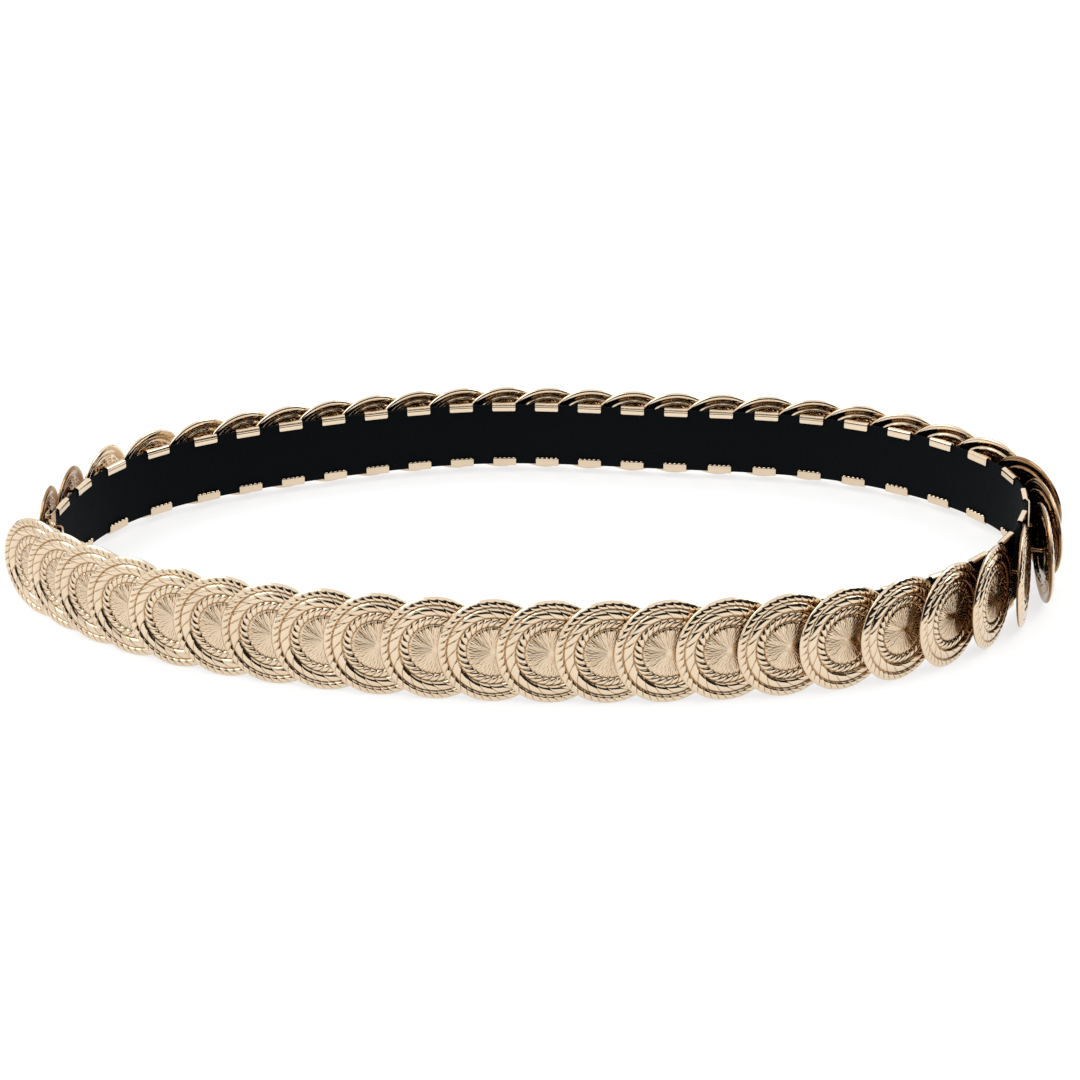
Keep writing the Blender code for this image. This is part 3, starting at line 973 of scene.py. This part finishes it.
def add_coins(line, shift, gold):
    """Every coin and its clip, in their places along the elastic"""
    coin_meshes = {}
    for index, (along, pitch) in enumerate(zip(*coin_stations()), start=1):
        tilt, stand_off = coin_pose(line, along, pitch)
        more_turn, more_stand_off = COIN_SET.get(index, (0.0, 0.0))
        place = Matrix.Translation(shift) @ band_frame(line, along)
        pose = coin_matrix(place, tilt + more_turn, stand_off + more_stand_off)
        # painted shade on the hollow backs of the chosen coins
        back_shade = BACK_SHADE if index in SHADED_BACK_COINS else 0.0
        bulge = FRONT_BULGE if index <= LAST_FRONT_COIN else BACK_BULGE
        if (back_shade, bulge) not in coin_meshes:
            coin_meshes[back_shade, bulge] = build_coin_mesh(back_shade, bulge)
        coin = add_piece("coin_%02d_face" % index, coin_meshes[back_shade, bulge], gold)
        coin.matrix_world = pose
        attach(coin, "root")
        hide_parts("coin_%02d" % index)

        drop = band_drop(along)
        clip_pose = Matrix.Translation((0.0, 0.0, -drop)) @ place
        clip_pose.translation = clip_pose.translation * MM
        to_clip = clip_pose.inverted() @ pose
        to_clip.translation = to_clip.translation / MM
        bend = line.left_turn(along, pitch) / pitch
        studs = BEND_STUDS if index in BEND_COINS else STUDS
        clip = add_piece("coin_%02d_clip" % index, build_clip_mesh(to_clip, drop, bend, studs), gold)
        clip.matrix_world = clip_pose
        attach(clip, "root")


def add_closure(line, shift, brown):
    """Hook and loop, which meet behind the first and the last coin"""
    for name, mesh, node in (
        ("closure_hook", build_hook_mesh(line), "hook"),
        ("closure_loop", build_loop_mesh(line), "loop_end"),
    ):
        mesh.transform(Matrix.Translation(shift * MM))
        piece = add_piece(name, mesh, brown)
        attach(piece, "root")
        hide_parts(node)


def add_floor():
    """Pale floor with a little glow of its own"""
    bm = bmesh.new()
    bmesh.ops.create_grid(bm, x_segments=1, y_segments=1, size=FLOOR_SIZE)
    mesh = bpy.data.meshes.new("floor")
    bm.to_mesh(mesh)
    bm.free()
    floor = bpy.data.objects.new("floor", mesh)
    material = bpy.data.materials.new("floor")
    material.use_nodes = True
    shader = material.node_tree.nodes["Principled BSDF"]
    shader.inputs["Base Color"].default_value = (*grey(FLOOR_GREY), 1.0)
    shader.inputs["Roughness"].default_value = FLOOR_ROUGHNESS
    shader.inputs["Emission Color"].default_value = (*WHITE, 1.0)
    shader.inputs["Emission Strength"].default_value = FLOOR_GLOW
    mesh.materials.append(material)
    bpy.context.scene.collection.objects.link(floor)


def add_studio():
    """Bright dome overhead, upright white panels to the left and behind, dark elsewhere"""
    world = bpy.data.worlds.new("studio")
    world.use_nodes = True
    tree = world.node_tree
    direction = tree.nodes.new("ShaderNodeTexCoord")
    split = tree.nodes.new("ShaderNodeSeparateXYZ")
    tree.links.new(direction.outputs["Generated"], split.inputs["Vector"])
    right, back, up = (split.outputs[axis] for axis in "XYZ")
    dark = grey(SKY_DARK)
    dome = add_ramp(tree, up, ((0.0, dark), (0.56, dark), (0.66, WHITE), (1.0, WHITE)))
    foot = add_ramp(tree, up, ((0.02, BLACK), (0.10, WHITE)))
    left_panel = add_ramp(tree, add_math(tree, "MULTIPLY", right, -1.0), ((0.30, BLACK), (0.50, WHITE)))
    back_panel = add_ramp(tree, back, ((0.05, BLACK), (0.25, WHITE)))
    sky = dome
    for panel in (left_panel, back_panel):
        sky = add_math(tree, "MAXIMUM", sky, add_math(tree, "MULTIPLY", foot, panel))
    background = tree.nodes["Background"]
    tree.links.new(sky, background.inputs["Color"])
    background.inputs["Strength"].default_value = SKY_STRENGTH
    bpy.context.scene.world = world
    bpy.context.scene.view_settings.view_transform = "Standard"


def add_softbox(name, at):
    """Square softbox aimed at the middle of the floor"""
    light = bpy.data.lights.new(name, "AREA")
    light.shape = "RECTANGLE"
    light.size = light.size_y = SOFTBOX_SIZE
    light.energy = SOFTBOX_POWER
    item = bpy.data.objects.new(name, light)
    item.location = at
    item.rotation_euler = (-Vector(at)).to_track_quat("-Z", "Y").to_euler()
    bpy.context.scene.collection.objects.link(item)


def add_camera(shift):
    """Camera at the photograph's place"""
    data = bpy.data.cameras.new("camera")
    data.sensor_width = SENSOR_WIDTH
    data.lens = CAMERA_FOCAL_PIXELS * SENSOR_WIDTH / PHOTO_PIXELS
    camera = bpy.data.objects.new("camera", data)
    camera.location = (Vector(CAMERA_AT) + shift) * MM
    look = Matrix.Rotation(math.pi / 2 - CAMERA_PITCH, 4, "X")
    camera.rotation_euler = (look @ Matrix.Rotation(CAMERA_ROLL, 4, "Z")).to_euler()
    bpy.context.scene.collection.objects.link(camera)
    bpy.context.scene.camera = camera


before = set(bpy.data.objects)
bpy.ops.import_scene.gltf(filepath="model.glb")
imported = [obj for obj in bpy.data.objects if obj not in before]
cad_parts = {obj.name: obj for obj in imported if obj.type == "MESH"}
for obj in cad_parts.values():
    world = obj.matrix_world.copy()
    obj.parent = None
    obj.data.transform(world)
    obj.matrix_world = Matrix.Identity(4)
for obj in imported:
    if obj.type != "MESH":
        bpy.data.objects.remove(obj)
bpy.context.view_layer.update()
line = CentreLine(PLAN_POINTS)
shift = add_elastic(line)
add_coins(line, shift, gold_material("gold", GOLD_TONES))
add_closure(line, shift, gold_material("closure_gold", CLOSURE_TONES))
add_floor()
add_studio()
for softbox in SOFTBOXES:
    add_softbox(*softbox)
add_camera(shift)
